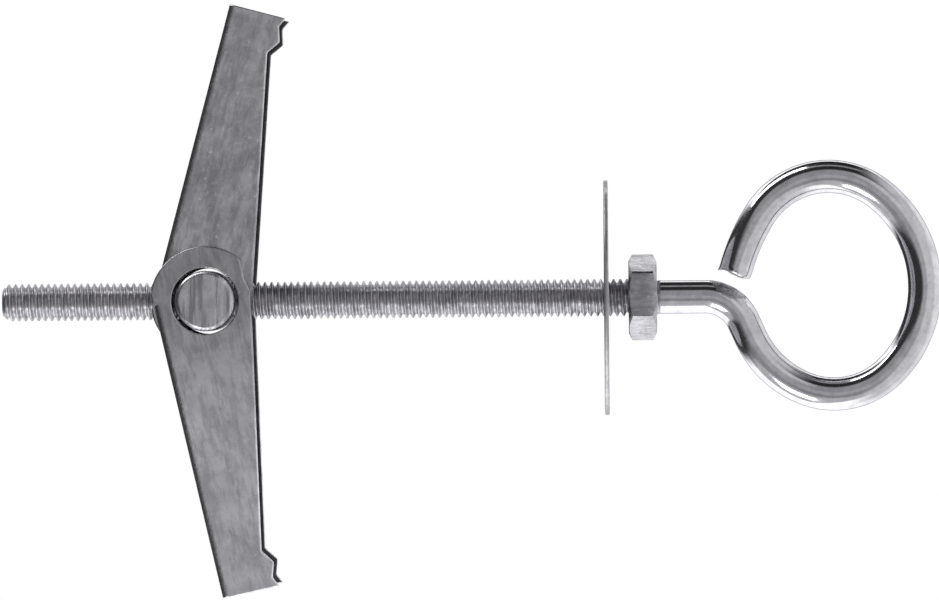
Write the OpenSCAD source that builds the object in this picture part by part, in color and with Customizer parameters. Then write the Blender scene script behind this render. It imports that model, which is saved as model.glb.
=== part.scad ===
// Ceiling eye anchor: a spring toggle on a threaded eye bolt, with a locking nut and a cover washer.
// Millimetres. Z runs up the bolt from the eye to the toggle, and the wings pivot about Y.
// The origin is on the bolt's axis, at the cover washer's upper face, where it meets the ceiling.

/* [Eye bolt] */
// Outer diameter of the thread
thread_d = 4; // [3.6:0.1:4.4]
// Diameter of the plain wire, which makes the shank and the eye
wire_d = 3.6; // [3:0.1:3.6]
// Height of the bolt's tip above the ceiling
tip_z = 64; // [56:0.5:75]
// Chamfer at the bolt's tip
tip_chamfer = 0.6; // [0.2:0.1:1]
// Length of thread left free under the nut
thread_spare = 0.4; // [0.2:0.1:2]
// Length of plain shank between the thread and the neck
shank_l = 4.7; // [3:0.1:8]

/* [Eye] */
// Centre line radius of the neck, the bend between the shank and the eye
neck_r = 4.5; // [4:0.1:6]
// Angle that the neck turns through
neck_angle = 66; // [60:1:70]
// Straight wire between the neck and the eye
neck_l = 1.8; // [1:0.1:4]
// Centre line radius of the eye's stretch next to the neck
throat_r = 10.6; // [10:0.1:11.4]
// Centre line radius of the eye's side under the neck
back_r = 8.4; // [7.8:0.1:9]
// Centre line radius of the eye's bottom
bottom_r = 12.5; // [11.5:0.1:13]
// Centre line radius of the eye's other side
front_r = 8.6; // [8:0.1:9.2]
// Centre line radius of the last stretch, up to the cut end
lip_r = 21.5; // [18:0.5:26]

/* [Nut] */
// Width of the nut across its flats
nut_af = 8; // [7:0.1:10]
// Height of the nut
nut_h = 3; // [2.4:0.1:5]
// Gap between the cover washer and the nut
nut_gap = 2.1; // [1:0.1:6]
// Width of the nut's corners that the chamfers take off
nut_chamfer = 0.75; // [0.4:0.05:1]

/* [Cover washer] */
// Diameter of the cover washer
washer_d = 25; // [20:0.5:40]
// Thickness of the cover washer
washer_t = 0.5; // [0.4:0.1:1.2]

/* [Trunnion nut] */
// Height of the wings' pivot above the ceiling
pivot_z = 42.2; // [36:0.1:48]
// Diameter of the cross barrel that the wings pivot on
barrel_d = 6.4; // [6:0.1:6.6]
// Length that the barrel stands out past each outer ear
barrel_proud = 0.4; // [0.1:0.1:1]
// Chamfer round the barrel's ends
barrel_chamfer = 0.35; // [0.1:0.05:0.6]

/* [Wings] */
// Thickness of the folded sheet
sheet_t = 0.7; // [0.5:0.05:0.8]
// Radius inside the sheet's folds
fold_r = 0.3; // [0.2:0.05:0.5]
// Space between a wing's inner ear and the middle plane
inner_half = 3.6; // [3.5:0.1:4.2]
// Distance from the pivot to the outside of the web
web_q = 5.4; // [5.2:0.1:5.8]
// Distance from the pivot to a wing's tip
wing_l = 31.1; // [29:0.1:36]
// Radius of the ears
ear_r = 5.8; // [5.7:0.05:6.2]
// Distance from the pivot to the flat on the ears' open side
ear_flat = 4.6; // [4.4:0.05:4.8]
// Depth of the walls' open edge below the pivot
root_q = 4.95; // [4.8:0.05:5.3]
// Rise of the open edge for each millimetre towards the tip
edge_rise = 0.192; // [0.18:0.002:0.2]
// Length of the toothed stretch at a wing's tip
teeth_l = 4; // [3:0.1:5]
// Depth of the teeth
tooth_h = 1; // [0.5:0.05:1.2]
// Angle between an open wing and a line square to the bolt
open_lean = 13.9; // [12:0.1:16]
// Angle that the open pair has rocked round the pivot
pair_rock = 1.1; // [0:0.1:1.5]

/* [Torsion spring] */
// Diameter of the spring wire
spring_wire = 0.45; // [0.3:0.05:0.5]
// Full turns in each of the two coils
coil_turns = 2; // [1:1:2]
// Distance along a wing at which the spring bears on its web
leg_reach = 9; // [7:0.5:12]

/* [Clearances] */
// Radial clearance of the nut and the trunnion on the thread
thread_gap = 0.05; // [0.03:0.01:0.08]
// Radial clearance of the cover washer's hole
washer_gap = 0.2; // [0.1:0.05:0.6]
// Radial clearance between the ears and the barrel
pivot_gap = 0.3; // [0.15:0.05:0.4]
// Clearance between the two wings' walls
wall_gap = 0.1; // [0.08:0.02:0.2]
// Gap between the webs' ends when the wings stand open
stop_gap = 0.2; // [0.1:0.05:0.3]
// Clearance round the bolt in the webs' notches
notch_gap = 0.35; // [0.25:0.05:0.5]
// Clearance round the other wing's ear in the relief slit
slit_gap = 0.1; // [0.08:0.02:0.2]
// Radial clearance between the spring's coils and the barrel
coil_gap = 0.5; // [0.3:0.05:0.5]
// Clearance between the spring's legs and the webs
leg_gap = 0.05; // [0.03:0.01:0.1]

/* [Hidden] */
$fn = 64;
// Cuts pass this far beyond the faces that they open
through = 1;

// Heights along the bolt
nut_top = -washer_t - nut_gap;
nut_bottom = nut_top - nut_h;
thread_end = nut_bottom - thread_spare;
neck_top = thread_end - shank_l;

// The wire under the shank, as [radius, angle] of each arc or [length, 0] of a straight; positive turns go to -X
eye_steps = [
    [neck_r, neck_angle], [neck_l, 0], [throat_r, -44.5], [back_r, -65], [bottom_r, -100.5],
    [front_r, -93.5], [lip_r, -17.5]
];
// The plain wire begins this far inside the threaded stretch, which is thicker
wire_root = 1;
// Finest turn of the wire between two rings of the sweep
arc_step = 6;

// A wing's walls across the pivot: the inner one is nearer the middle plane than the outer one
inner_wall = [inner_half, inner_half + sheet_t];
outer_wall = [inner_wall[1] + wall_gap, inner_wall[1] + wall_gap + sheet_t];
barrel_half = outer_wall[1] + barrel_proud;
// The web's outer face meets the stop plane this far past the pivot, and the ears stand clear behind it
web_start = -web_q * tan(open_lean);
ear_step = web_start - sheet_t;
// Ends of the slit and of the open edge's straight taper
slit_end = sqrt(ear_r * ear_r - (web_q - sheet_t) * (web_q - sheet_t)) + 2 * slit_gap + sheet_t;
taper_end = wing_l - teeth_l;
taper_q = -root_q + edge_rise * taper_end;

// The coils lie between the bolt and the inner ears, as far out as they can
coil_r = barrel_d / 2 + coil_gap + spring_wire / 2;
coil_outer_y = inner_half - wall_gap - spring_wire / 2;
coil_pitch = spring_wire + 0.02;
leg_q = web_q - sheet_t - leg_gap - spring_wire / 2;

module turned(profile) {
    rotate_extrude() polygon(profile);
}

// ---- Wire ----

function unit(v) = v / norm(v);

// Direction of a path at its point i
function heading(path, i) = unit(path[min(i + 1, len(path) - 1)] - path[max(i - 1, 0)]);

// A side direction for each point, carried along the path without twisting
function carried(path, i, side) = i == len(path) ? [] :
    let (t = heading(path, i), s = unit(side - (side * t) * t)) concat([s], carried(path, i + 1, s));

// Round wire along a path, with capped ends
module wire_along(path, d, sides) {
    side = carried(path, 0, [0, 1, 0]);
    rings = [for (i = [0:len(path) - 1], k = [0:sides - 1])
        path[i] + d / 2 * (cos(360 * k / sides) * side[i] + sin(360 * k / sides) * cross(heading(path, i), side[i]))];
    last = (len(path) - 1) * sides;
    polyhedron(rings, concat(
        [[for (k = [0:sides - 1]) k]],
        [for (i = [0:len(path) - 2], k = [0:sides - 1])
            let (a = i * sides + k, b = i * sides + (k + 1) % sides) [b, a, a + sides, b + sides]],
        [[for (k = [sides - 1:-1:0]) last + k]]
    ));
}

// ---- Eye bolt ----

// Heading h of the wire in the middle plane: 0 is down, and positive turns towards -X
function ahead(h) = [-sin(h), 0, -cos(h)];
function aside(h) = [-cos(h), 0, sin(h)];

// Points of one step of the wire that starts at p with heading h
function step_points(p, h, step) = step[1] == 0 ? [p + step[0] * ahead(h)] :
    let (n = ceil(abs(step[1]) / arc_step), r = sign(step[1]) * step[0], centre = p + r * aside(h))
        [for (i = [1:n]) centre - r * aside(h + step[1] * i / n)];

// Points of all steps from the one numbered i, each starting where the last one ends
function route(p, h, steps, i = 0) = i == len(steps) ? [] :
    let (leg = step_points(p, h, steps[i]))
        concat(leg, route(leg[len(leg) - 1], h + steps[i][1], steps, i + 1));

module eye_bolt() {
    color("silver") {
        translate([0, 0, thread_end]) turned([
            [0, 0], [thread_d / 2, 0], [thread_d / 2, tip_z - thread_end - tip_chamfer],
            [thread_d / 2 - tip_chamfer, tip_z - thread_end], [0, tip_z - thread_end]
        ]);
        wire_along(concat([[0, 0, thread_end + wire_root], [0, 0, neck_top]],
            route([0, 0, neck_top], 0, eye_steps)), wire_d, 20);
    }
}

// ---- Nut and cover washer ----

module hex_nut() {
    corner_r = nut_af / 2 / cos(30);
    flat_r = corner_r - nut_chamfer;
    bevel_h = nut_chamfer * tan(30);
    color("lightsteelblue")
        translate([0, 0, nut_bottom]) difference() {
            intersection() {
                cylinder(r = corner_r, h = nut_h, $fn = 6);
                turned([
                    [0, 0], [flat_r, 0], [corner_r, bevel_h], [corner_r, nut_h - bevel_h],
                    [flat_r, nut_h], [0, nut_h]
                ]);
            }
            translate([0, 0, -through]) cylinder(d = thread_d + 2 * thread_gap, h = nut_h + 2 * through);
        }
}

module cover_washer() {
    color("gainsboro")
        translate([0, 0, -washer_t]) difference() {
            cylinder(d = washer_d, h = washer_t);
            translate([0, 0, -through]) cylinder(d = thread_d + 2 * washer_gap, h = washer_t + 2 * through);
        }
}

// ---- Toggle ----

module trunnion_nut() {
    rim_r = barrel_d / 2 - barrel_chamfer;
    color("darkgray")
        translate([0, 0, pivot_z]) difference() {
            rotate([90, 0, 0]) translate([0, 0, -barrel_half]) turned([
                [0, 0], [rim_r, 0], [barrel_d / 2, barrel_chamfer],
                [barrel_d / 2, 2 * barrel_half - barrel_chamfer], [rim_r, 2 * barrel_half], [0, 2 * barrel_half]
            ]);
            translate([0, 0, -barrel_d]) cylinder(d = thread_d + 2 * thread_gap, h = 2 * barrel_d);
        }
}

// Extrudes a side view, drawn as [distance along the wing, distance towards the web], from y0 to y1
module across(y0, y1) {
    translate([0, y1, 0]) rotate([90, 0, 0]) linear_extrude(y1 - y0) children();
}

// Rectangle with both of its upper corners rounded
module round_top(x0, x1, y0, y1, r) {
    translate([x0, y0]) square([x1 - x0, y1 - y0 - r]);
    translate([x0 + r, y0]) square([x1 - x0 - 2 * r, y1 - y0]);
    for (x = [x0 + r, x1 - r]) translate([x, y1 - r]) circle(r = r);
}

// Section of the folded sheet: an inner wall, the web and an outer wall
module channel_section() {
    difference() {
        round_top(-inner_wall[1], outer_wall[1], -ear_r - through, web_q, fold_r + sheet_t);
        round_top(-inner_wall[0], outer_wall[0], -ear_r - 2 * through, web_q - sheet_t, fold_r);
    }
}

// Round ear with a flat on its open side
module ear_outline() {
    intersection() {
        circle(r = ear_r);
        translate([-2 * ear_r, -ear_flat]) square(4 * ear_r);
    }
}

// Side view of a wall: the ear, the flank that tapers to the tip, and the teeth that grip the ceiling's back
module wall_outline() {
    ear_outline();
    polygon([
        [web_start, web_q], [wing_l, web_q], [wing_l, taper_q - 0.6 * tooth_h],
        [wing_l - 0.03 * teeth_l, taper_q - tooth_h], [wing_l - 0.25 * teeth_l, taper_q - 0.1 * tooth_h],
        [wing_l - 0.65 * teeth_l, taper_q - tooth_h], [taper_end, taper_q],
        [0, -root_q], [-ear_r + ear_flat, -ear_flat]
    ]);
}

// One wing with its pivot at the origin and its web level; the outer wall is on the +Y side
module wing() {
    difference() {
        union() {
            intersection() {
                across(-barrel_half, barrel_half) wall_outline();
                translate([ear_step, 0, 0]) rotate([90, 0, 90]) linear_extrude(wing_l - ear_step)
                    channel_section();
            }
            // Whole ears: they stand free above the web's line behind its end
            for (wall = [[-inner_wall[1], -inner_wall[0]], outer_wall])
                across(wall[0], wall[1]) intersection() {
                    ear_outline();
                    union() {
                        translate([ear_step - 2 * ear_r, -ear_r]) square(2 * ear_r);
                        translate([-ear_r, -ear_r]) square([2 * ear_r, ear_r + web_q / 2]);
                    }
                }
        }
        // Pivot holes
        across(-barrel_half, barrel_half) circle(d = barrel_d + 2 * pivot_gap);
        // Web end, square to the stop plane, between the ears
        rotate([0, -open_lean, 0]) translate([stop_gap / 2 - 2 * ear_r, -inner_wall[0], fold_r])
            cube([2 * ear_r, inner_wall[0] + outer_wall[0], 2 * ear_r]);
        // Notch round the bolt
        rotate([0, -open_lean, 0]) cylinder(d = thread_d + 2 * notch_gap, h = 2 * ear_r);
        // Relief slit for the other wing's inner ear, with a round end
        translate([0, inner_wall[0] - slit_gap, fold_r]) {
            slit_w = sheet_t + wall_gap + slit_gap;
            translate([ear_step - ear_r, 0, 0]) cube([slit_end - slit_w / 2 - ear_step + ear_r, slit_w, 2 * ear_r]);
            translate([slit_end - slit_w / 2, slit_w / 2, 0]) cylinder(d = slit_w, h = 2 * ear_r);
        }
    }
}

// Places what is drawn round the pivot into the open, rocked toggle
module at_pivot() {
    translate([0, 0, pivot_z]) rotate([0, pair_rock, 0]) children();
}

module wing_right() {
    color("dimgray") at_pivot() rotate([0, open_lean, 0]) wing();
}

module wing_left() {
    color("slategray") at_pivot() rotate([0, 0, 180]) rotate([0, open_lean, 0]) wing();
}

// ---- Torsion spring ----

// A point at radius r and angle a about the pivot, y along it
function around(r, a, y) = [r * cos(a), y, r * sin(a)];

// Where a leg bears on the right wing's web, and where its line meets the coil
leg_far = norm([leg_reach, leg_q]);
leg_angle = atan2(leg_q, leg_reach) - open_lean;
touch_angle = leg_angle + acos(coil_r / leg_far);
coil_sweep = 360 * coil_turns + 180 - 2 * touch_angle;
coil_inner_y = coil_outer_y - coil_pitch * coil_sweep / 360;
coil_steps = 24 * coil_turns + 2;

// Half of the spring: a leg on the right web, one coil, and the bridge's way out along the left web
half_spring = concat(
    [around(leg_far, leg_angle, coil_outer_y)],
    [for (i = [0:coil_steps]) around(coil_r, touch_angle + coil_sweep * i / coil_steps,
        coil_outer_y - (coil_outer_y - coil_inner_y) * i / coil_steps)],
    [for (i = [0:6]) around(leg_far, 180 - leg_angle, 0)
        + coil_inner_y * [-cos(open_lean) * sin(15 * i), cos(15 * i), -sin(open_lean) * sin(15 * i)]]
);
spring_path = concat(half_spring, [for (i = [len(half_spring) - 2:-1:0])
    [half_spring[i][0], -half_spring[i][1], half_spring[i][2]]]);

module torsion_spring() {
    color("gold") at_pivot() wire_along(spring_path, spring_wire, 8);
}

eye_bolt();
hex_nut();
cover_washer();
trunnion_nut();
wing_right();
wing_left();
torsion_spring();
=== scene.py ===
# Ceiling eye anchor: an eye bolt with a spring toggle, a locking nut and a cover washer.
# Shapes are worked out in millimetres in the frame of the solids and written in metres.
import math

import bmesh
import bpy
import numpy as np
from mathutils import Matrix


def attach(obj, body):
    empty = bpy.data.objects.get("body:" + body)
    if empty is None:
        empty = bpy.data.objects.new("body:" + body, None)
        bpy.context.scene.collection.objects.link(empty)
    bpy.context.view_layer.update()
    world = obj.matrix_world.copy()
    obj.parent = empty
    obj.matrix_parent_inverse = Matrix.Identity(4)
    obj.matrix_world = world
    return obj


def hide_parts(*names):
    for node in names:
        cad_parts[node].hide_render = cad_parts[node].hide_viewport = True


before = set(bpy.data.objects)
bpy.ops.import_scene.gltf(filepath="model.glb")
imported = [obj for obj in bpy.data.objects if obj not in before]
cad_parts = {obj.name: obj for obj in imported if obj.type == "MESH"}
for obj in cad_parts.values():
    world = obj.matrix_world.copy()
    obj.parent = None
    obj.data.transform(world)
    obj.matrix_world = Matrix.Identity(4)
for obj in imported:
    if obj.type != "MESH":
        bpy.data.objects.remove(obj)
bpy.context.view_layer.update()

toMetres = 0.001
toMillimetres = 1000
flatWithin = 0.6                # degrees between faces that are joined as one flat face
bevelAngle = 28                 # degrees between faces whose shared edge is eased


# Quads of a grid of rings: the corner (row, column) joins (row, column + 1), (row + 1, column + 1) and
# (row + 1, column)
def ringQuads(rows, columns, rowsClosed=False):
    row = np.arange(rows if rowsClosed else rows - 1)[:, None]
    column = np.arange(columns)[None, :]
    here, there = row * columns, (row + 1) % rows * columns
    beside = (column + 1) % columns
    return np.stack([here + column, here + beside, there + beside, there + column], axis=-1).reshape(-1, 4)


# Fan from a pole point to a ring whose first point has the number start
def fanTriangles(pole, start, columns, forward):
    here = start + np.arange(columns)
    beside = start + (np.arange(columns) + 1) % columns
    order = [here, beside] if forward else [beside, here]
    return np.stack([np.full(columns, pole)] + order, axis=-1)


# One closed shell from rings of points (rows x columns x 3): open rows end in a pole at the middle of each
# end ring
def shellFrom(rings, rowsClosed=False):
    rows, columns = rings.shape[:2]
    points = rings.reshape(-1, 3)
    quads = ringQuads(rows, columns, rowsClosed)
    if rowsClosed:
        return points, [quads]
    poles = np.stack([rings[0].mean(axis=0), rings[-1].mean(axis=0)])
    first, last = len(points), len(points) + 1
    fans = [fanTriangles(first, 0, columns, False),
            fanTriangles(last, (rows - 1) * columns, columns, True)]
    return np.concatenate([points, poles]), [quads] + fans


# Several shells as one set of points and faces
def joinShells(shells):
    points, faces, start = [], [], 0
    for shellPoints, shellFaces in shells:
        points.append(shellPoints)
        faces += [part + start for part in shellFaces]
        start += len(shellPoints)
    return np.concatenate(points), faces


# Opens a mesh, runs the steps on it in order and writes it back
def editMesh(mesh, *steps):
    solid = bmesh.new()
    solid.from_mesh(mesh)
    for step in steps:
        step(solid)
    solid.to_mesh(mesh)
    solid.free()


# Step that merges the points nearer to each other than a distance in the mesh's own unit
def mergeWithin(distance):
    return lambda solid: bmesh.ops.remove_doubles(solid, verts=solid.verts, dist=distance)


def turnOutwards(solid):
    bmesh.ops.recalc_face_normals(solid, faces=solid.faces)


def joinFlats(solid):
    bmesh.ops.dissolve_limit(solid, angle_limit=math.radians(flatWithin), verts=solid.verts,
                             edges=solid.edges)


# Mesh object from points in millimetres, smooth apart from edges sharper than creaseAngle degrees
def makePiece(name, shell, finishes, creaseAngle=35):
    points, parts = shell
    faces = [face for part in parts for face in part.tolist()]
    mesh = bpy.data.meshes.new(name)
    mesh.from_pydata((np.asarray(points, float) * toMetres).tolist(), [], faces)
    return finishPiece(name, mesh, finishes, creaseAngle)


# Object at the origin that holds a mesh, a lamp or a camera
def addObject(name, data):
    holder = bpy.data.objects.new(name, data)
    bpy.context.scene.collection.objects.link(holder)
    return holder


# Merges doubles, turns the faces outwards and gives the mesh its creases, its finishes and its object
def finishPiece(name, mesh, finishes, creaseAngle):
    editMesh(mesh, mergeWithin(1e-7), turnOutwards)
    mesh.shade_smooth()
    mesh.set_sharp_from_angle(angle=math.radians(creaseAngle))
    for finish in finishes:
        mesh.materials.append(finish)
    return addObject(name, mesh)


# Rounds the edges sharper than bevelAngle to about width millimetres, apart from those whose middle is kept
def easeEdges(piece, width, segments=2, keep=lambda middle: False):
    def weighEdges(solid):
        layer = solid.edges.layers.float.new("bevel_weight_edge")
        for edge in solid.edges:
            middle = (edge.verts[0].co + edge.verts[1].co) / 2 * toMillimetres
            edge[layer] = float(edge.calc_face_angle(0) > math.radians(bevelAngle) and not keep(middle))

    editMesh(piece.data, weighEdges)
    bevel = piece.modifiers.new("easedEdges", "BEVEL")
    bevel.width = width * toMetres
    bevel.segments = segments
    bevel.use_clamp_overlap = False
    bevel.limit_method = "WEIGHT"
    weighted = piece.modifiers.new("flatFaces", "WEIGHTED_NORMAL")
    weighted.mode = "FACE_AREA"
    weighted.weight = 100
    piece.data.set_sharp_from_angle(angle=math.pi)
    return piece


# Rings round a path: path point + radius * (cos * side + sin * heading x side), where side is the guide
# direction made square to the heading
def tubeRings(path, guide, radius, sides):
    heading = np.gradient(path, axis=0)
    heading /= np.linalg.norm(heading, axis=1, keepdims=True)
    guide = np.broadcast_to(np.asarray(guide, float), path.shape)
    side = guide - (guide * heading).sum(axis=1, keepdims=True) * heading
    side /= np.linalg.norm(side, axis=1, keepdims=True)
    across = np.cross(heading, side)
    angle = 2 * np.pi * np.arange(sides) / sides
    spoke = (np.cos(angle)[None, :, None] * side[:, None, :]
             + np.sin(angle)[None, :, None] * across[:, None, :])
    return path[:, None, :] + np.broadcast_to(radius, len(path))[:, None, None] * spoke


# Smooth step from 0 at low to 1 at high
def smoothStep(low, high, value):
    share = np.clip((value - low) / (high - low), 0, 1)
    return share * share * (3 - 2 * share)


# One shader node with its settings and its sockets, each a value or another node's output
def addNode(tree, kind, sockets=None, **settings):
    node = tree.nodes.new("ShaderNode" + kind)
    for name, value in settings.items():
        setattr(node, name, value)
    for key, value in (sockets or {}).items():
        if isinstance(value, bpy.types.NodeSocket):
            tree.links.new(value, node.inputs[key])
        else:
            node.inputs[key].default_value = value
    return node


# Carries a value smoothly from toLow, where it is at low or below, to toHigh, where it is at high or above
def spread(tree, value, low, high, toLow=0.0, toHigh=1.0):
    limits = {"Value": value, "From Min": low, "From Max": high, "To Min": toLow, "To Max": toHigh}
    return addNode(tree, "MapRange", limits, interpolation_type="SMOOTHSTEP").outputs[0]


# One sum, difference or product of two values
def reckon(tree, operation, a, b):
    return addNode(tree, "Math", {0: a, 1: b}, operation=operation).outputs[0]


# Noise with a number of patterns per metre
def noise(tree, place, scale, detail, roughness):
    return addNode(tree, "TexNoise", {"Vector": place, "Scale": scale, "Detail": detail,
                                      "Roughness": roughness}).outputs[0]


# Mixes colour a towards colour b by a share
def blendColour(tree, share, a, b):
    return addNode(tree, "Mix", {0: share, 6: a, 7: b}, data_type="RGBA").outputs[2]


# Material with an empty node tree
def emptyFinish(name):
    finish = bpy.data.materials.new(name)
    finish.use_nodes = True
    finish.node_tree.nodes.clear()
    return finish, finish.node_tree


# Grey of a brightness with the faint violet of passivated zinc
def zincGrey(value):
    return value, value * 0.985, value * 1.03, 1


# What all the finishes of plate and wire share

zincPattern = {
    "cloud": (6.0, 0.68),       # detail and roughness of each noise
    "patch": (4.0, 0.6),
    "drawn": (4.0, 0.65),
    "fine": (2.0, 0.5),
    "patchScale": 4.3,          # patches for each cloud
    "fineScale": 5200.0,
    "cloudEdge": (0.34, 0.62),  # noise values between which one tone turns into the next
    "speckEdge": (0.58, 0.72),
    "lineEdge": (0.38, 0.56),
    "roughEdge": (0.3, 0.7),
    "cloudRough": (1.25, 0.85),     # share of the roughness at either end of the noise
    "lineRough": (0.15, -0.1),
    "lineTone": 0.45,           # how dark a line is beside the dull tone
    # darkest tone of the painted shade
    "shadeTone": 0.02,
    "fineBump": 0.5,            # strength of the fine relief beside the others'
    "fineRelief": 0.00002,      # metres
    "lineRelief": 0.00004,
    "patchRelief": 0.00005,
}


# Zinc plate on steel from three tones (middle, dull, bright): clouds between the dull and the middle one,
# small specks of the bright one, dark drawn lines along one direction, and a roughness and a bump that follow
# them. Scales are in patterns per metre. A painted shade darkens the plate from one X to another, in metres.
def zincFinish(name, tones, roughness, cloudScale, lines, speck, bump, lineScale=1500, lineStretch=(1, 1, 1),
               tilt=0.0, paintedShade=None, pattern=zincPattern):
    finish, tree = emptyFinish(name)
    middling, dull, bright = (zincGrey(tone) for tone in tones)
    place = addNode(tree, "TexCoord").outputs["Object"]
    turned = addNode(tree, "Mapping", {"Vector": place, "Rotation": (0, tilt, 0)}).outputs[0]
    stretched = addNode(tree, "Mapping", {"Vector": turned, "Scale": lineStretch}).outputs[0]
    cloud = noise(tree, place, cloudScale, *pattern["cloud"])
    patch = noise(tree, place, cloudScale * pattern["patchScale"], *pattern["patch"])
    drawn = noise(tree, stretched, lineScale, *pattern["drawn"])
    fine = noise(tree, place, pattern["fineScale"], *pattern["fine"])
    plate = blendColour(tree, spread(tree, cloud, *pattern["cloudEdge"]), dull, middling)
    plate = blendColour(tree, spread(tree, patch, *pattern["speckEdge"], 0.0, speck), plate, bright)
    dark = tuple(pattern["lineTone"] * channel for channel in dull[:3]) + (1,)
    plate = blendColour(tree, spread(tree, drawn, *pattern["lineEdge"], lines, 0.0), plate, dark)
    # painted shade: the plate darkens from one X to another
    if paintedShade:
        along = addNode(tree, "SeparateXYZ", {0: place}).outputs[0]
        share = spread(tree, along, paintedShade["from"], paintedShade["to"], 0.0, paintedShade["share"])
        plate = blendColour(tree, share, plate, zincGrey(pattern["shadeTone"]))
    cloudRough, lineRough = (
        spread(tree, value, *pattern["roughEdge"], *(roughness * share for share in shares))
        for value, shares in ((cloud, pattern["cloudRough"]), (drawn, pattern["lineRough"])))
    relief = addNode(tree, "Bump", {"Height": fine, "Strength": bump * pattern["fineBump"],
                                    "Distance": pattern["fineRelief"]}).outputs[0]
    for height, depth in ((drawn, pattern["lineRelief"]), (patch, pattern["patchRelief"])):
        relief = addNode(tree, "Bump", {"Height": height, "Strength": bump, "Distance": depth,
                                        "Normal": relief}).outputs[0]
    shader = addNode(tree, "BsdfPrincipled", {"Base Color": plate, "Metallic": 1.0, "Normal": relief,
                                              "Roughness": reckon(tree, "ADD", cloudRough, lineRough)})
    addNode(tree, "OutputMaterial", {"Surface": shader.outputs[0]})
    return finish


boltZinc = zincFinish("boltZinc", (0.84, 0.70, 0.95), 0.11, cloudScale=600, lines=0.15, speck=0.25, bump=0.06)
threadZinc = zincFinish("threadZinc", (0.70, 0.50, 0.92), 0.34, cloudScale=700, lines=0.35, speck=0.5,
                        bump=0.2)
cutSteel = zincFinish("cutSteel", (0.60, 0.34, 0.88), 0.34, cloudScale=900, lines=0.6, speck=0.4, bump=0.6,
                      lineStretch=(1, 0.12, 1))
nutZinc = zincFinish("nutZinc", (0.60, 0.42, 0.90), 0.17, cloudScale=620, lines=0.3, speck=0.5, bump=0.35,
                     lineScale=2400, lineStretch=(1, 1, 0.25))
washerZinc = zincFinish("washerZinc", (0.60, 0.46, 0.82), 0.40, cloudScale=330, lines=0.3, speck=0.35,
                        bump=0.3, lineStretch=(0.12, 1, 1))
trunnionZinc = zincFinish("trunnionZinc", (0.80, 0.62, 0.96), 0.28, cloudScale=500, lines=0.75, speck=0.3,
                          bump=0.8, lineScale=1700, lineStretch=(0.07, 1, 1))
wingPlate = {"cloudScale": 420, "lines": 0.34, "speck": 0.75, "bump": 0.6, "lineStretch": (0.22, 1, 1)}
# painted shade on the left wing, darkest at the pivot
pivotShade = {"from": -0.0145, "to": 0.0025, "share": 0.42}
# one plate for both wings: the right wing's darker tones are painted shade and the left wing's lighter ones
# painted light
wingRightShadedZinc = zincFinish("wingRightShadedZinc", (0.71, 0.51, 0.94), 0.22, tilt=math.radians(-15), **wingPlate)
wingLeftLitZinc = zincFinish("wingLeftLitZinc", (0.96, 0.77, 0.99), 0.22, tilt=math.radians(13), paintedShade=pivotShade,
                          **wingPlate)
# painted shade: a near-black plate for the faces inside the channel, where shade falls
insideShadeZinc = zincFinish("insideShadeZinc", (0.16, 0.10, 0.30), 0.42, **wingPlate)
springSteel = zincFinish("springSteel", (0.50, 0.34, 0.82), 0.24, cloudScale=800, lines=0.3, speck=0.3,
                         bump=0.15)
print("stage 2: finishes made")


# Eye bolt: a rolled thread, a plain shank, the neck and the open eye, as one surface

eyeBoltSizes = {
    "threadCrest": 1.99,        # radius over the thread's crests
    "threadRoot": 1.58,         # radius at its roots
    "threadPitch": 0.7,
    "rowsPerPitch": 14,
    "flank": (0.08, 0.40),      # where a flank starts and ends, in pitches from the middle of the crest
    "flankRound": 0.4,          # how far a flank runs into the crest and the root as a curve
    "wireRadius": 1.8,
    "tipZ": 64.0,
    "tipChamfer": 0.6,
    "tipRings": [0.3, 0.62, 0.9],   # shares of the tip's radius
    "tipHollow": 0.12,
    "threadEndZ": -6.0,
    "runOut": 0.9,              # length over which the thread fades into the shank
    "neckTopZ": -10.7,
    "shankRows": 24,
    "bends": [(4.5, 66), (1.8, 0), (10.6, -44.5), (8.4, -65), (12.5, -100.5), (8.6, -93.5), (21.5, -19.8)],
    "straightRows": 7,
    "degreesPerRow": 2.5,
    "rowLength": 0.56,
    "columns": 40,
    "endInset": [0.0, 0.03, 0.09, 0.18, 0.32, 0.5, 0.75, 1.1, 1.5],
    "endRound": (0.16, 0.75),   # rounding of the end's rim on its outer and on its inner side
    "endSlant": 0.8,            # how much shorter the wire is on its outer side
    "endUneven": 0.05,          # height of the three tears round the face
    "unevenFrom": 0.3,          # inset at which they reach that height
    "burrLength": 0.22,
    "burrFlare": 0.22,
    "burrSpread": 0.5,
    "burrInset": (0.09, 0.2, 0.62),     # insets at which the burr is full, starts to fall and has gone
    "endReach": 2.6,            # distance from the wire's end within which the cut face lies
    "threadMargin": 0.1,        # how far each finish reaches past the line where its surface starts
    "endMargin": 0.04,
    "tipMargin": 0.05,
}


# Centre line below the shank: each bend (radius, degrees) turns about a centre beside the wire, so that
# point = centre - radius * aside(heading); a bend of no degrees is a straight of that length
def eyeCentreLine(sizes):
    ahead = lambda h: np.stack([-np.sin(h), 0 * h, -np.cos(h)], axis=-1)
    aside = lambda h: np.stack([-np.cos(h), 0 * h, np.sin(h)], axis=-1)
    points, headings = [np.array([[0, 0, sizes["neckTopZ"]]])], [np.array([0.0])]
    for radius, degrees in sizes["bends"]:
        start, heading = points[-1][-1], headings[-1][-1]
        if degrees == 0:
            share = np.linspace(0, 1, sizes["straightRows"])[1:]
            points.append(start + share[:, None] * radius * ahead(np.full(len(share), heading)))
            headings.append(np.full(len(share), heading))
        else:
            length = math.radians(abs(degrees)) * radius
            count = max(int(length / sizes["rowLength"]), int(abs(degrees) / sizes["degreesPerRow"]))
            turn = heading + np.radians(degrees) * np.arange(1, count + 1) / count
            bend = math.copysign(radius, degrees)
            points.append(start + bend * aside(np.array(heading)) - bend * aside(turn))
            headings.append(turn)
    return np.concatenate(points), np.concatenate(headings)


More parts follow.
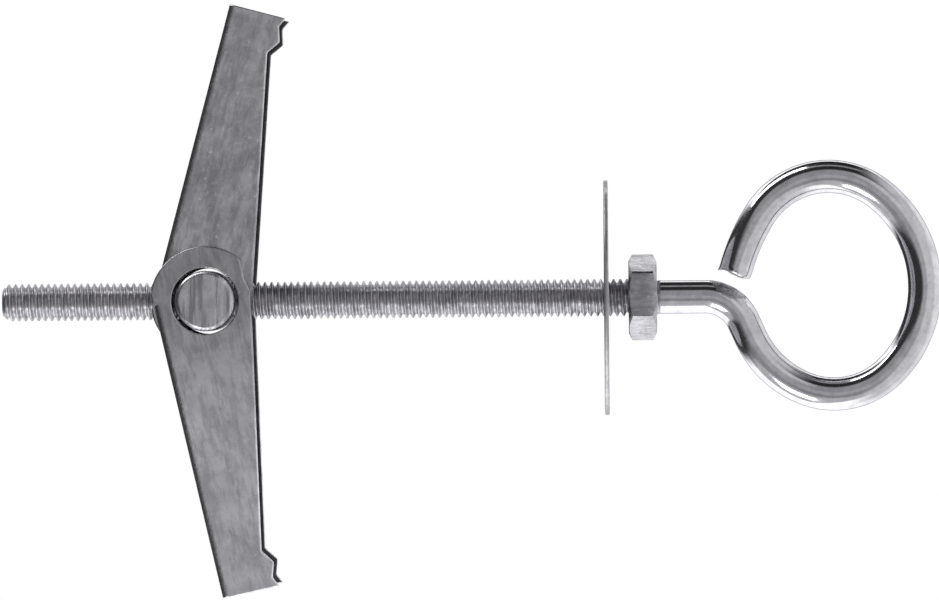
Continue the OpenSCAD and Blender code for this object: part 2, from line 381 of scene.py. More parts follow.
# Radius of the threaded stretch at height z and angle a: crest where z / pitch - a / turn is a half,
# flat at crest and root, chamfered at the tip and fading into the plain wire at its lower end
def threadRadius(sizes, z, angle):
    phase = np.mod(z / sizes["threadPitch"] - angle / (2 * np.pi), 1.0)
    fromCrest = np.abs(phase - 0.5)
    start, end = sizes["flank"]
    height = np.clip((end - fromCrest) / (end - start), 0, 1)
    height = height + sizes["flankRound"] * (smoothStep(0, 1, height) - height)
    radius = sizes["threadRoot"] + (sizes["threadCrest"] - sizes["threadRoot"]) * height
    radius = np.minimum(radius, sizes["threadCrest"] - sizes["tipChamfer"] + (sizes["tipZ"] - z))
    fade = smoothStep(sizes["threadEndZ"] + sizes["runOut"], sizes["threadEndZ"], z)
    return radius + (sizes["wireRadius"] - radius) * fade


# Rings of the straight stretch from the slightly cupped tip down to the neck
def straightRings(sizes, turnAngle):
    threadZ = np.arange(sizes["tipZ"], sizes["threadEndZ"], -sizes["threadPitch"] / sizes["rowsPerPitch"])
    shankZ = np.linspace(sizes["threadEndZ"], sizes["neckTopZ"], sizes["shankRows"])[:-1]
    z = np.concatenate([threadZ, shankZ])[:, None]
    angle = np.pi - turnAngle[None, :]
    radius = threadRadius(sizes, z, angle)
    straight = np.stack([radius * np.cos(angle), radius * np.sin(angle), np.broadcast_to(z, radius.shape)],
                        axis=-1)
    share = np.array(sizes["tipRings"])[:, None]
    tip = share[:, :, None] * straight[0]
    tip[:, :, 2] = sizes["tipZ"] - sizes["tipHollow"] * (1 - share ** 2)
    return np.concatenate([tip, straight])


# Rings of the sheared end: radius = wire - inset and advance = sqrt(round^2 - (round - inset)^2) - round,
# less the slant, with a burr drawn out and flared on the outer side and a face that is a little uneven
def shearedRings(sizes, turnAngle, place, spoke, forward):
    inset = np.array(sizes["endInset"])[:, None]
    outer, inner = sizes["endRound"]
    rounding = outer + (inner - outer) * (1 - np.cos(turnAngle[None, :])) / 2
    depth = rounding - np.minimum(inset, rounding)
    away = np.mod(turnAngle + np.pi, 2 * np.pi) - np.pi
    full, falling, gone = sizes["burrInset"]
    burr = np.exp(-(away / sizes["burrSpread"]) ** 2)[None, :] * smoothStep(gone, falling, inset)
    burr = burr * smoothStep(0.0, full, inset)
    across = (1 - inset / sizes["wireRadius"]) * np.cos(turnAngle[None, :])
    tears = np.sin(3 * turnAngle + 1.0)[None, :] * smoothStep(0, sizes["unevenFrom"], inset)
    advance = np.sqrt(rounding ** 2 - depth ** 2) - rounding + sizes["burrLength"] * burr
    advance = advance + sizes["endUneven"] * tears - sizes["endSlant"] * (1 + across) / 2
    radius = sizes["wireRadius"] - inset + sizes["burrFlare"] * burr
    return place + radius[:, :, None] * spoke + advance[:, :, None] * forward


# Straight rings, then the wire's section carried along the eye's centre line, then the sheared end
def makeEyeBolt(sizes):
    turnAngle = 2 * np.pi * np.arange(sizes["columns"]) / sizes["columns"]
    centre, heading = eyeCentreLine(sizes)
    outwards = np.stack([-np.cos(heading), 0 * heading, np.sin(heading)], axis=-1)
    spoke = (np.cos(turnAngle)[None, :, None] * outwards[:, None]
             + np.sin(turnAngle)[None, :, None] * np.array([0.0, 1.0, 0.0]))
    wire = centre[:, None, :] + sizes["wireRadius"] * spoke
    forward = np.array([-math.sin(heading[-1]), 0, -math.cos(heading[-1])])
    end = shearedRings(sizes, turnAngle, centre[-1], spoke[-1], forward)
    rings = np.concatenate([straightRings(sizes, turnAngle), wire[:-2], end])
    piece = makePiece("eyeBolt", shellFrom(rings), [boltZinc, threadZinc, cutSteel], creaseAngle=50)
    # thread, plain wire and the two cut ends take their own finishes by place
    middle = np.empty(len(piece.data.polygons) * 3)
    piece.data.polygons.foreach_get("center", middle)
    middle = middle.reshape(-1, 3) * toMillimetres
    plain, threaded, cut = 0, 1, 2
    zone = np.where(middle[:, 2] > sizes["threadEndZ"] - sizes["threadMargin"], threaded, plain)
    fromEnd = middle - centre[-1]
    nearEnd = np.linalg.norm(fromEnd, axis=1) < sizes["endReach"]
    zone[nearEnd & (fromEnd @ forward > -sizes["endMargin"])] = cut
    zone[middle[:, 2] > sizes["tipZ"] - sizes["tipMargin"]] = cut
    piece.data.polygons.foreach_set("material_index", zone.astype(np.int32))
    return piece


eyeBolt = makeEyeBolt(eyeBoltSizes)
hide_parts("eye_bolt")
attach(eyeBolt, "eye")
print("stage 3: eye bolt,", len(eyeBolt.data.polygons), "faces")


# Locking nut: turned hexagon with chamfered corners and a countersunk bore

nutSizes = {
    "acrossFlats": 8.0,
    "topZ": -2.6,
    "height": 3.0,
    "boreRadius": 2.05,
    "countersink": 0.32,
    "cornerOff": 0.75,          # width that the chamfers take off each corner
    "cornerWear": 0.05,
    "easedEdge": 0.025,
    "turn": 4.0,                # degrees that the nut is turned from square
    "columns": 120,
}


# Hexagon radius: half the width across flats over the cosine of the angle from the middle of a flat; the
# chamfer's cone meets each column where its own radius reaches the hexagon's
def makeNut(sizes):
    angle = 2 * np.pi * np.arange(sizes["columns"]) / sizes["columns"]
    corner = sizes["acrossFlats"] / 2 / math.cos(math.pi / 6)
    hexagon = sizes["acrossFlats"] / 2 / np.cos(np.mod(angle, math.pi / 3) - math.pi / 6)
    hexagon = np.minimum(hexagon, corner - sizes["cornerWear"])
    bore, sink, height = sizes["boreRadius"], sizes["countersink"], sizes["height"]
    flat = corner - sizes["cornerOff"]
    face = (bore + sink + flat) / 2
    drop = (hexagon - flat) * math.tan(math.pi / 6)
    even = np.ones_like(angle)
    outline = [
        (bore * even, sink * even), (bore * even, height / 2 * even), (bore * even, (height - sink) * even),
        ((bore + sink) * even, height * even), (face * even, height * even), (flat * even, height * even),
        (hexagon, height - drop), (hexagon, height / 2 * even), (hexagon, drop),
        (flat * even, 0 * even), (face * even, 0 * even), ((bore + sink) * even, 0 * even),
    ]
    angle = angle + math.radians(sizes["turn"])
    rings = np.stack([np.stack([r * np.cos(angle), r * np.sin(angle), sizes["topZ"] - height + z], axis=-1)
                      for r, z in outline])
    piece = makePiece("lockingNut", shellFrom(rings, rowsClosed=True), [nutZinc])
    return easeEdges(piece, sizes["easedEdge"])


lockingNut = makeNut(nutSizes)
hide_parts("hex_nut")
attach(lockingNut, "nut")
print("stage 4: locking nut")


# Cover washer: a thin stamped disc

washerSizes = {
    "radius": 12.5,
    "boreRadius": 2.2,
    "thickness": 0.5,
    "edgeRound": 0.16,
    "ripple": 0.02,             # unevenness of the lower face
    "rows": 18,                 # across each face
    "roundRows": 5,
    "columns": 160,
}


# Flat ring whose section is a rounded bar: the lower face rises and falls a little round the disc
def makeWasher(sizes):
    angle = 2 * np.pi * np.arange(sizes["columns"]) / sizes["columns"]
    edge, inner, outer, thick = sizes["edgeRound"], sizes["boreRadius"], sizes["radius"], sizes["thickness"]
    quarter = np.linspace(0, np.pi / 2, sizes["roundRows"])
    across = np.linspace(inner + edge, outer - edge, sizes["rows"])[1:-1]
    r = np.concatenate([
        outer - edge + edge * np.sin(quarter), outer - edge + edge * np.cos(quarter), across[::-1],
        inner + edge - edge * np.sin(quarter), inner + edge - edge * np.cos(quarter), across])
    z = np.concatenate([
        -edge + edge * np.cos(quarter), -thick + edge - edge * np.sin(quarter), np.full(len(across), -thick),
        -thick + edge - edge * np.cos(quarter), -edge + edge * np.sin(quarter), np.zeros(len(across))])
    lower = (z < -thick / 2)[:, None]
    wave = 1 + np.sin(3 * angle + 0.6) * np.cos(2 * angle)
    height = z[:, None] + np.where(lower, sizes["ripple"] * wave[None, :] * (r / outer)[:, None], 0)
    rings = np.stack([r[:, None] * np.cos(angle), r[:, None] * np.sin(angle), height], axis=-1)
    return makePiece("coverWasher", shellFrom(rings, rowsClosed=True), [washerZinc], creaseAngle=60)


coverWasher = makeWasher(washerSizes)
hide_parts("cover_washer")
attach(coverWasher, "cover")
print("stage 5: cover washer")


# Trunnion nut: the solid's own outline with eased, worn edges

trunnionSizes = {
    "easedEdge": 0.16,
}


# A copy of a solid's mesh with its doubles merged and its flat faces joined
def dressedCopy(node, name, finishes, edge):
    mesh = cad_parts[node].data.copy()
    mesh.name = name
    mesh.materials.clear()
    editMesh(mesh, mergeWithin(1e-6), joinFlats)
    return easeEdges(finishPiece(name, mesh, finishes, creaseAngle=180), edge)


trunnionNut = dressedCopy("trunnion_nut", "trunnionNut", [trunnionZinc], trunnionSizes["easedEdge"])
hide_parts("trunnion_nut")
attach(trunnionNut, "toggle")
print("stage 6: trunnion nut")


# Toggle's place, which its wings and its spring share

toggleSizes = {
    "pivotZ": 42.2,
    "lean": 13.9,               # degrees of an open wing
    "rock": 1.1,                # degrees that the open pair has rocked round the pivot
}


# Turn about the Y axis by degrees, which carries +Z towards +X
def turnAboutY(degrees):
    cosine, sine = math.cos(math.radians(degrees)), math.sin(math.radians(degrees))
    return np.array([[cosine, 0, sine], [0, 1, 0], [-sine, 0, cosine]])


# Carries points drawn round the level pivot to the rocked pair's place
def atPivot(sizes, points):
    return points @ turnAboutY(sizes["rock"]).T + np.array([0, 0, sizes["pivotZ"]])


# Wings: each is one folded sheet, drawn with its pivot at the origin and its web level

wingSizes = {
    **toggleSizes,
    "sheet": 0.7,
    "innerHalf": 3.6,           # from the middle plane to the inner wall's inside
    "wallGap": 0.1,
    "webTop": 5.4,
    "length": 31.1,
    "foldInside": 0.3,          # radius inside a fold
    "squareness": 3.8,          # how square the outside of a fold is pressed
    "earRadius": 5.8,
    "earFlat": 4.6,
    "earDrop": 0.12,            # from the web's top to the flat top of an ear
    "earFront": 1.0,            # how far an ear runs on into its wall, beside the pivot
    "earOverlap": 0.25,         # how far it runs on into the fold
    "earLap": 0.15,             # and how far above the fold's lower end
    "wallStart": 0.5,           # where the wall starts inside its ear, in ear radii
    "rootLow": 4.95,            # depth of the open edge at the pivot
    "edgeRise": 0.192,          # rise of the open edge along the wing
    "teethLength": 4.0,
    "toothHeight": 1.0,
    "teeth": [(0.65, 1.0), (0.25, 0.5), (0.0, 1.0)],    # shares of that length and of that height
    "holeRadius": 3.5,
    "stopGap": 0.2,             # between the two webs' ends
    "stopLap": 0.3,             # how far below the fold the stop's cut reaches
    "notchRadius": 2.35,
    "slitGap": 0.1,
    "spare": 1.0,               # how far a cutting shape runs on past the sheet
    "foldPoints": (9, 5),       # outside and inside
    "earPoints": 40,
    "holePoints": 72,
    "notchPoints": 48,
    "slitPoints": 13,
    # the faces down to there take the painted shade inside the channel
    "insideSlack": 0.4,         # how far below the web's underside the channel's dark faces reach
    "easedEdge": 0.17,
    "sharpX": (-2.4, -0.3),     # the corner between an ear and the web's end, which stays as it was cut
    "sharpY": 3.3,
    "sharpZ": 4.0,
}


# Closed prism: an outline (rows of two numbers) carried from low to high along the axis with that number; the
# outline's two numbers go to the other two axes in order
def prism(outline, axis, low, high):
    count = len(outline)
    points = np.insert(np.tile(outline, (2, 1)), axis, np.repeat([low, high], count), axis=1)
    index = np.arange(count)
    beside = np.roll(index, -1)
    sides = np.stack([index, beside, beside + count, index + count], axis=-1).tolist()
    mesh = bpy.data.meshes.new("prism")
    mesh.from_pydata(points.tolist(), [], sides + [index[::-1].tolist(), (index + count).tolist()])
    editMesh(mesh, turnOutwards)
    return mesh


# The union, difference or intersection of two closed meshes
def combine(first, second, operation):
    holders = [addObject("work", mesh) for mesh in (first, second)]
    step = holders[0].modifiers.new("combine", "BOOLEAN")
    step.operation, step.solver, step.object = operation, "EXACT", holders[1]
    bpy.context.view_layer.update()
    combined = holders[0].evaluated_get(bpy.context.evaluated_depsgraph_get())
    result = bpy.data.meshes.new_from_object(combined)
    for holder in holders:
        bpy.data.objects.remove(holder)
    for mesh in (first, second):
        bpy.data.meshes.remove(mesh)
    return result


# Arc of points about a centre, from one angle to another in degrees, where |across| ** power + |up| ** power
# is radius ** power: a power of 2 is a circle and a higher one is squarer
def arcPoints(centre, radius, fromAngle, toAngle, count, power=2.0):
    angle = np.radians(np.linspace(fromAngle, toAngle, count))
    spoke = np.stack([np.cos(angle), np.sin(angle)], axis=-1)
    stretch = (np.abs(spoke) ** power).sum(axis=1, keepdims=True) ** (-1 / power)
    return np.asarray(centre) + radius * spoke * stretch


# Section of the sheet: up the outside of one wall, over the web and down the other, then back inside
def channelOutline(sizes, deep):
    sheet, top, inner = sizes["sheet"], sizes["webTop"], sizes["innerHalf"]
    left, right = -inner - sheet, inner + 2 * sheet + sizes["wallGap"]
    small, large = sizes["foldInside"], sizes["foldInside"] + sheet
    outsidePoints, insidePoints = sizes["foldPoints"]
    leftFold, rightFold = (left + large, top - large), (right - large, top - large)
    return np.concatenate([
        [(left, -deep)],
        arcPoints(leftFold, large, 180, 90, outsidePoints, sizes["squareness"]),
        arcPoints(rightFold, large, 90, 0, outsidePoints, sizes["squareness"]),
        [(right, -deep), (right - sheet, -deep)],
        arcPoints(rightFold, small, 0, 90, insidePoints),
        arcPoints(leftFold, small, 90, 180, insidePoints),
        [(left + sheet, -deep)],
    ])


# Side view of a wall from inside its ear: the flank that tapers to the tip, and the tip's teeth
def wallOutline(sizes):
    length, top = sizes["length"], sizes["webTop"]
    taperEnd = length - sizes["teethLength"]
    low = -sizes["rootLow"] + sizes["edgeRise"] * taperEnd
    start = -sizes["wallStart"] * sizes["earRadius"]
    earEnd = (sizes["earFlat"] - sizes["earRadius"], -sizes["earFlat"])
    root = [(length, top), (start, top), (start, start), earEnd, (0, -sizes["rootLow"]), (taperEnd, low)]
    return root + [(length - back * sizes["teethLength"], low - down * sizes["toothHeight"])
                   for back, down in sizes["teeth"]]


# One wing: the channel cut to the walls' outline, ears joined on, then the openings cut
def wingMesh(sizes):
    radius, top, sheet, inner = sizes["earRadius"], sizes["webTop"], sizes["sheet"], sizes["innerHalf"]
    lean = math.radians(sizes["lean"])
    right = inner + 2 * sheet + sizes["wallGap"]
    reach, high, floor = right + 2 * sizes["spare"], 2 * radius, sizes["foldInside"]
    earStep = -top * math.tan(lean) - sheet
    fold = top - sheet - sizes["foldInside"]
    channel = channelOutline(sizes, radius + sizes["spare"])
    wing = prism(channel, 0, earStep, sizes["length"] + sizes["spare"])
    wing = combine(wing, prism(wallOutline(sizes), 1, -reach, reach), "INTERSECT")

    # behind the stop plane the folds are cut off, and a flat ear stands there, which runs on into its wall
    stopAt = lambda z: -z * math.tan(lean) + sizes["stopGap"] / 2 / math.cos(lean)
    cut = fold - sizes["stopLap"]
    stop = [(stopAt(cut), cut), (stopAt(high), high), (-high, high), (-high, cut)]
    wing = combine(wing, prism(stop, 1, -reach, reach), "DIFFERENCE")
    earTop, front, lap = top - sizes["earDrop"], sizes["earFront"], fold - sizes["earLap"]
    topAngle = 180 - math.degrees(math.asin(earTop / radius))
    flatAngle = 180 + math.degrees(math.asin(sizes["earFlat"] / radius))
    overlap = stopAt(fold) + sizes["earOverlap"]
    ear = np.concatenate([[(overlap, earTop)],
                          arcPoints((0, 0), radius, topAngle, flatAngle, sizes["earPoints"]),
                          [(front, -sizes["earFlat"]), (front, lap), (overlap, lap)]])
    for low, far in ((-inner - sheet, -inner), (right - sheet, right)):
        wing = combine(wing, prism(ear, 1, low, far), "UNION")

    hole = arcPoints((0, 0), sizes["holeRadius"], 0, 360, sizes["holePoints"] + 1)[:-1]
    wing = combine(wing, prism(hole, 1, -reach, reach), "DIFFERENCE")
    boltPlace = (-top * math.tan(lean), 0)
    notch = arcPoints(boltPlace, sizes["notchRadius"], 0, 360, sizes["notchPoints"] + 1)[:-1]
    wing = combine(wing, prism(notch, 2, floor, high), "DIFFERENCE")
    slitEnd = math.sqrt(radius ** 2 - (top - sheet) ** 2) + 2 * sizes["slitGap"] + sheet
    slitHalf = (sheet + sizes["wallGap"] + sizes["slitGap"]) / 2
    slitMiddle = inner - sizes["slitGap"] + slitHalf
    slitStart = earStep - radius
    slitRound = (slitEnd - slitHalf, slitMiddle)
    slit = np.concatenate([[(slitStart, slitMiddle - slitHalf)],
                           arcPoints(slitRound, slitHalf, -90, 90, sizes["slitPoints"]),
                           [(slitStart, slitMiddle + slitHalf)]])
    return combine(wing, prism(slit, 2, floor, high), "DIFFERENCE")


# Takes out the points in the middle of a straight edge between flat faces
def dropLoose(solid):
    loose = [vert for vert in solid.verts if len(vert.link_edges) == 2
             and max(edge.calc_face_angle(0) for edge in vert.link_edges) < math.radians(flatWithin)]
    bmesh.ops.dissolve_verts(solid, verts=loose)


# Gives the faces inside the channel the second finish, a painted shade: between the walls' insides, those
# that look at the middle plane and those that look down from under the web
def paintShadeInside(sizes, mesh):
    middle, facing = np.empty(len(mesh.polygons) * 3), np.empty(len(mesh.polygons) * 3)
    mesh.polygons.foreach_get("center", middle)
    mesh.polygons.foreach_get("normal", facing)
    middle, facing = middle.reshape(-1, 3), facing.reshape(-1, 3)
    left, right = -sizes["innerHalf"], sizes["innerHalf"] + sizes["sheet"] + sizes["wallGap"]
    onWall = 0.01
    between = (middle[:, 1] > left - onWall) & (middle[:, 1] < right + onWall)
    inwards = np.where(middle[:, 1] < 0, facing[:, 1], -facing[:, 1]) > 0.5
    underside = sizes["webTop"] - sizes["sheet"] - sizes["insideSlack"]
    under = (facing[:, 2] < -0.6) & (middle[:, 2] > underside)
    mesh.polygons.foreach_set("material_index", (between & (inwards | under)).astype(np.int32))


# Turns a wing into place: lean, half a turn about the bolt for the left wing, then the pair's rock
def placeWing(sizes, name, finishes, leftHand):
    mesh = wingMesh(sizes)
    mesh.name = name
    mesh.materials.clear()
    editMesh(mesh, mergeWithin(1e-4), joinFlats, dropLoose, turnOutwards)
    paintShadeInside(sizes, mesh)
    side = -1 if leftHand else 1
    points = np.empty(len(mesh.vertices) * 3)
    mesh.vertices.foreach_get("co", points)
    points = points.reshape(-1, 3) @ turnAboutY(sizes["lean"]).T * np.array([side, side, 1])
    mesh.vertices.foreach_set("co", (atPivot(sizes, points) * toMetres).ravel())
    mesh.update()

    back = turnAboutY(side * sizes["lean"] + sizes["rock"])
    nearest, farthest = sizes["sharpX"]

    def keep(middle):
        x, y, z = (np.array(middle) - np.array([0, 0, sizes["pivotZ"]])) @ back
        return nearest < side * x < farthest and z > sizes["sharpZ"] and abs(y) > sizes["sharpY"]

    piece = finishPiece(name, mesh, finishes, creaseAngle=180)
    return easeEdges(piece, sizes["easedEdge"], segments=3, keep=keep)


# each wing's second finish is the painted shade inside its channel
wingRight = placeWing(wingSizes, "wingRight", [wingRightShadedZinc, insideShadeZinc], False)
wingLeft = placeWing(wingSizes, "wingLeft", [wingLeftLitZinc, insideShadeZinc], True)
for wing, node in ((wingRight, "wing_right"), (wingLeft, "wing_left")):
    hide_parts(node)
    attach(wing, node)
print("stage 7: wings")


# Torsion spring: coils on the trunnion, legs on the right web and a bridge on the left web

springSizes = {
    **toggleSizes,
    "wireRadius": 0.225,
    "coilRadius": 3.925,        # to the middle of the wire
    "outerY": 3.275,            # where each coil starts, beside the walls
    "pitch": 0.47,
    "turns": 2,
    "legReach": 9.0,            # from the pivot along the web
    "legHeight": 4.425,         # from the pivot square to the web
    "wrap": 100,                # degrees of coil that each leg carries along when its wing folds
    "wrapGap": 0.02,            # how far these lie beside the other coils
    "coilRows": 150,
    "wrapRows": 28,
    "legRows": 12,
    "bowRows": 10,
    "guideRows": 7,             # over which the bridge's section turns towards the web
    "sides": 10,
}


# Point at radius r and angle a about the pivot's axis, y along it
def roundPivot(r, a, y):
    r, a, y = np.broadcast_arrays(r, a, y)
    return np.stack([r * np.cos(a), y, r * np.sin(a)], axis=-1)


# Wire of the spring along a path drawn round the level pivot
def wireShell(sizes, path, guide):
    return shellFrom(tubeRings(atPivot(sizes, path), guide, sizes["wireRadius"], sizes["sides"]))


# Coil: angle runs from the right leg's touching point over the turns to the left leg's, and y moves in by
# one pitch each turn; legs and bridge leave it along its tangent
def makeSpring(sizes):
    far = math.hypot(sizes["legReach"], sizes["legHeight"])
    lean, wrap = math.radians(sizes["lean"]), math.radians(sizes["wrap"])
    legAngle = math.atan2(sizes["legHeight"], sizes["legReach"]) - lean
    touch = legAngle + math.acos(sizes["coilRadius"] / far)
    sweep = 2 * np.pi * sizes["turns"] + np.pi - 2 * touch
    innerY = sizes["outerY"] - sizes["pitch"] * sweep / (2 * np.pi)
    yAt = lambda a: sizes["outerY"] - sizes["pitch"] * (a - touch) / (2 * np.pi)
    mirror, yAxis = np.array([1, -1, 1]), np.array([0.0, 1.0, 0.0])
    bothSides = lambda path: joinShells([wireShell(sizes, path * side, yAxis) for side in (1, mirror)])

    angle = np.linspace(touch, touch + sweep, sizes["coilRows"])
    coils = bothSides(roundPivot(sizes["coilRadius"], angle, yAt(angle)))

    angle = np.linspace(touch + wrap, touch, sizes["wrapRows"])
    hold = roundPivot(sizes["coilRadius"], angle, yAt(angle) + sizes["wrapGap"])
    tip = roundPivot(far, legAngle, sizes["outerY"])
    along = np.linspace(0, 1, sizes["legRows"])[1:, None]
    legs = bothSides(np.concatenate([hold, hold[-1] + along * (tip - hold[-1])]))

    angle = np.linspace(touch + sweep - wrap, touch + sweep, sizes["wrapRows"])
    hold = roundPivot(sizes["coilRadius"], angle, yAt(angle) - sizes["wrapGap"])
    root = roundPivot(far, np.pi - legAngle, 0.0)
    bow = np.radians(np.linspace(0, 90, sizes["bowRows"]))
    outwards = np.array([-math.cos(lean), 0, -math.sin(lean)])
    bend = root + innerY * (np.sin(bow)[:, None] * outwards + np.cos(bow)[:, None] * yAxis)
    along = np.linspace(0, 1, sizes["bowRows"])[1:-1, None]
    half = np.concatenate([hold, hold[-1] + along * (bend[0] - hold[-1]), bend])
    webNormal = np.array([-math.sin(lean), 0, math.cos(lean)])
    share = (np.arange(len(half)) - sizes["wrapRows"]) / sizes["guideRows"]
    quarter = np.clip(share, 0, 1)[:, None] * np.pi / 2
    guide = np.cos(quarter) * yAxis + np.sin(quarter) * webNormal
    bridge = wireShell(sizes, np.concatenate([half, (half * mirror)[-2::-1]]),
                       np.concatenate([guide, (guide * mirror)[-2::-1]]))
    return [makePiece(name, shell, [springSteel], creaseAngle=60)
            for name, shell in (("springCoils", coils), ("springLegs", legs), ("springBridge", bridge))]


springCoils, springLegs, springBridge = makeSpring(springSizes)
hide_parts("torsion_spring")
for part, body in ((springCoils, "toggle"), (springLegs, "wing_right"), (springBridge, "wing_left")):
    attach(part, body)
print("stage 8: torsion spring")


# Floor

floorSizes = {
    "height": -90.0,
    "half": 1000.0,
    "cells": 4,                 # along each side
    "tones": (0.88, 0.90),
    "mottle": (9.0, 4.0, 0.5),  # patterns per metre, detail and roughness
    "mottleEdge": (0.3, 0.7),
    "roughness": 0.7,
}


# Square floor as a grid, with a little mottle so that it isn't a flat colour. Metal looks through it at the
# world, so that no horizon crosses the eye.
def makeFloor(sizes):
    side = np.linspace(-sizes["half"], sizes["half"], sizes["cells"] + 1)
    u, v = np.meshgrid(side, side, indexing="ij")
    points = np.stack([u, v, np.full_like(u, sizes["height"])], axis=-1).reshape(-1, 3) * toMetres
    i, j = np.meshgrid(np.arange(sizes["cells"]), np.arange(sizes["cells"]), indexing="ij")
    corner = (i * len(side) + j).reshape(-1)
    faces = np.stack([corner, corner + len(side), corner + len(side) + 1, corner + 1], axis=-1)
    mesh = bpy.data.meshes.new("floor")
    mesh.from_pydata(points.tolist(), [], faces.tolist())
    finish, tree = emptyFinish("paleFloor")
    cloud = noise(tree, addNode(tree, "TexCoord").outputs["Object"], *sizes["mottle"])
    dull, bright = ((tone, tone, tone, 1) for tone in sizes["tones"])
    pale = blendColour(tree, spread(tree, cloud, *sizes["mottleEdge"]), dull, bright)
    shader = addNode(tree, "BsdfPrincipled", {"Base Color": pale, "Roughness": sizes["roughness"]})
    clear = addNode(tree, "BsdfTransparent")
    shown = addNode(tree, "MixShader", {0: addNode(tree, "LightPath").outputs["Is Glossy Ray"],
                                        1: shader.outputs[0], 2: clear.outputs[0]})
    addNode(tree, "OutputMaterial", {"Surface": shown.outputs[0]})
    mesh.materials.append(finish)
    floor = addObject("floor", mesh)


makeFloor(floorSizes)


# World: white behind the object. In metal it shows a white backdrop, a grey front, a light side below (-X),
# a pale lower end (-Z), a dark upper side (+X) with a narrow gap of light, and a dark upper end (+Z).

# Each zone has a brightness and what it turns into as one part of the direction goes between two numbers
worldZones = {
    "side": (0.02, [("z", -0.30, -0.70, 0.62), ("z", -0.88, -0.97, 0.85)]),
    "below": (1.5, [("z", -0.12, -0.45, 0.72)]),
    "front": (0.39, [("x", -0.08, -0.24, 0.27), ("x", 0.08, 0.30, 0.30), ("x", -0.42, -0.52, 0.5),
                     ("z", -0.14, -0.34, 0.62)]),
    "backdrop": (1.3, [("z", -0.1, -0.6, 0.9)]),
    "rim": (0.5, [("x", 0.1, 0.4, 0.3)]),
}

# Edges between the zones, again between two numbers of one part of the direction
worldEdges = {
    "below": (-0.25, -0.5),
    "front": (-0.62, -0.76),
    "frontBelow": (-0.15, -0.45),           # towards -X the front reaches further back,
    "frontShift": (-0.2, 0.4, 0.14, 0.62),  # by more towards +Z
    "backAbove": (0.6, 0.85),               # towards +X the backdrop starts further back,
    "backShift": 0.48,                      # by this much
    "backdrop": (0.02, 0.16),
    "rimStart": (0.72, 0.80),
    "rimEnd": (0.95, 0.90),
    "upperEnd": (0.10, 0.36),
    "upperEndTone": 0.03,
    "gapX": (0.88, 0.93),
    "gapYStart": (-0.30, -0.24),
    "gapYEnd": (-0.04, -0.10),
    "gapTone": 0.30,
    "plain": (0.86, 0.86, 0.87, 1),         # what matt surfaces receive
    "plainStrength": 0.9,
}


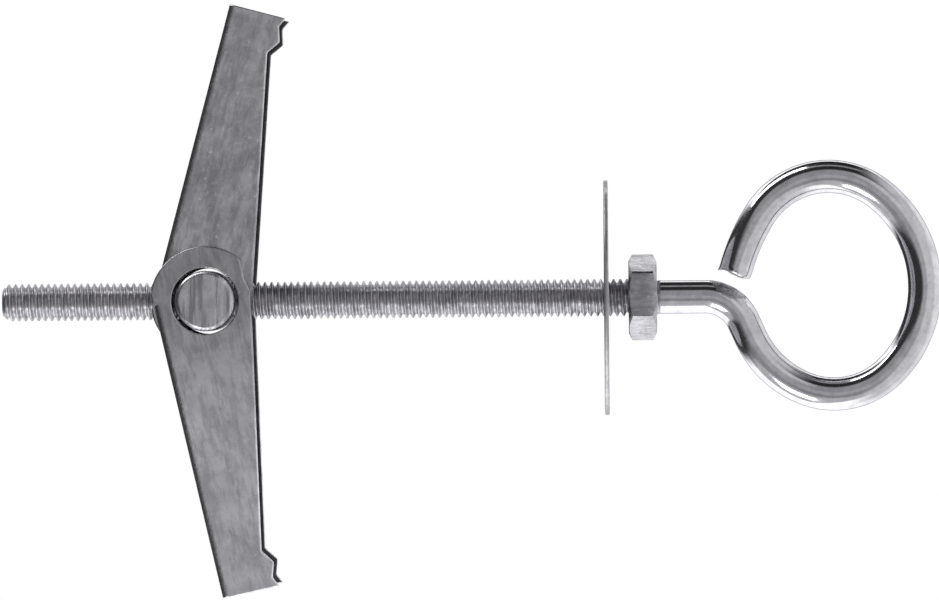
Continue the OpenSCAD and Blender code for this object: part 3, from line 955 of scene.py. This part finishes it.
def makeWorld(zones, edges):
    world = bpy.data.worlds.new("studioWorld")
    bpy.context.scene.world = world
    world.use_nodes = True
    tree = world.node_tree
    tree.nodes.clear()
    x, y, z = addNode(tree, "SeparateXYZ", {0: addNode(tree, "TexCoord").outputs["Generated"]}).outputs
    grey = lambda value: (value, value, value * 1.02, 1)
    edge = lambda name, value: spread(tree, value, *edges[name])
    times = lambda a, b: reckon(tree, "MULTIPLY", a, b)
    less = lambda a, b: reckon(tree, "SUBTRACT", a, b)

    def zone(name):
        start, turns = zones[name]
        colour = grey(start)
        for part, low, high, tone in turns:
            colour = blendColour(tree, spread(tree, {"x": x, "z": z}[part], low, high), colour, grey(tone))
        return colour

    seen = blendColour(tree, edge("below", x), zone("side"), zone("below"))
    forward = less(y, times(edge("frontBelow", x), edge("frontShift", z)))
    seen = blendColour(tree, edge("front", forward), seen, zone("front"))
    rim = times(edge("rimStart", y), edge("rimEnd", y))
    backdrop = blendColour(tree, rim, zone("backdrop"), zone("rim"))
    back = less(y, times(edge("backAbove", x), edges["backShift"]))
    seen = blendColour(tree, edge("backdrop", back), seen, backdrop)
    aside = addNode(tree, "Math", {0: x}, operation="ABSOLUTE").outputs[0]
    seen = blendColour(tree, edge("upperEnd", less(z, aside)), seen, grey(edges["upperEndTone"]))
    gap = times(edge("gapX", x), times(edge("gapYStart", y), edge("gapYEnd", y)))
    seen = blendColour(tree, gap, seen, grey(edges["gapTone"]))

    path = addNode(tree, "LightPath")
    light = lambda colour, strength: addNode(
        tree, "Background", {"Color": colour, "Strength": strength}).outputs[0]
    straight = reckon(tree, "MAXIMUM", path.outputs["Is Camera Ray"], path.outputs["Is Transmission Ray"])
    mirrored = addNode(tree, "MixShader", {0: path.outputs["Is Glossy Ray"], 2: light(seen, 1.0),
                                           1: light(edges["plain"], edges["plainStrength"])}).outputs[0]
    shown = addNode(tree, "MixShader", {0: straight, 1: mirrored, 2: light((1, 1, 1, 1), 1.0)}).outputs[0]
    addNode(tree, "OutputWorld", {"Surface": shown})


makeWorld(worldZones, worldEdges)


# Lamps and camera

lampSizes = {
    "boxes": [("keyBox", (765, -50, 480), 240, 700, 2.4),       # name, place, width, height, power
              ("fillBox", (-650, -500, 250), 300, 300, 1.2)],
    "aim": (0, 0, 14),
    "up": (0.1, 0, 1),
}


# Soft boxes at their places, aimed at the middle of the object
def makeLamps(sizes):
    for name, place, width, height, power in sizes["boxes"]:
        lamp = bpy.data.lights.new(name, "AREA")
        lamp.shape = "RECTANGLE"
        lamp.size, lamp.size_y, lamp.energy = width * toMetres, height * toMetres, power
        placeFacing(addObject(name, lamp), place, sizes["aim"], sizes["up"])


# Puts a lamp or a camera at a place, facing what it is aimed at and with its top towards up
def placeFacing(holder, place, aim, up):
    place, aim = np.array(place) * toMetres, np.array(aim) * toMetres
    back = (place - aim) / np.linalg.norm(place - aim)
    right = np.cross(up, back)
    right /= np.linalg.norm(right)
    turn = Matrix(np.stack([right, np.cross(back, right), back], axis=1).tolist())
    holder.matrix_world = Matrix.Translation(place) @ turn.to_4x4()


makeLamps(lampSizes)

cameraSizes = {
    "place": (0.0, -700.0, 0.4),
    "aim": (-0.124, 0.0, 14.31),
    "roll": 0.5,                # degrees by which up is turned from +X
    "lens": 252.3,
    "sensor": 36.0,
    "clip": (0.01, 20),         # metres
}


def makeCamera(sizes):
    camera = bpy.data.cameras.new("camera")
    camera.lens, camera.sensor_width = sizes["lens"], sizes["sensor"]
    camera.clip_start, camera.clip_end = sizes["clip"]
    holder = addObject("camera", camera)
    roll = math.radians(sizes["roll"])
    placeFacing(holder, sizes["place"], sizes["aim"], (math.cos(roll), 0, -math.sin(roll)))
    bpy.context.scene.camera = holder


makeCamera(cameraSizes)
bpy.context.scene.view_settings.view_transform = "Standard"
print("stage 9: floor, light and camera")

bpy.context.view_layer.update()
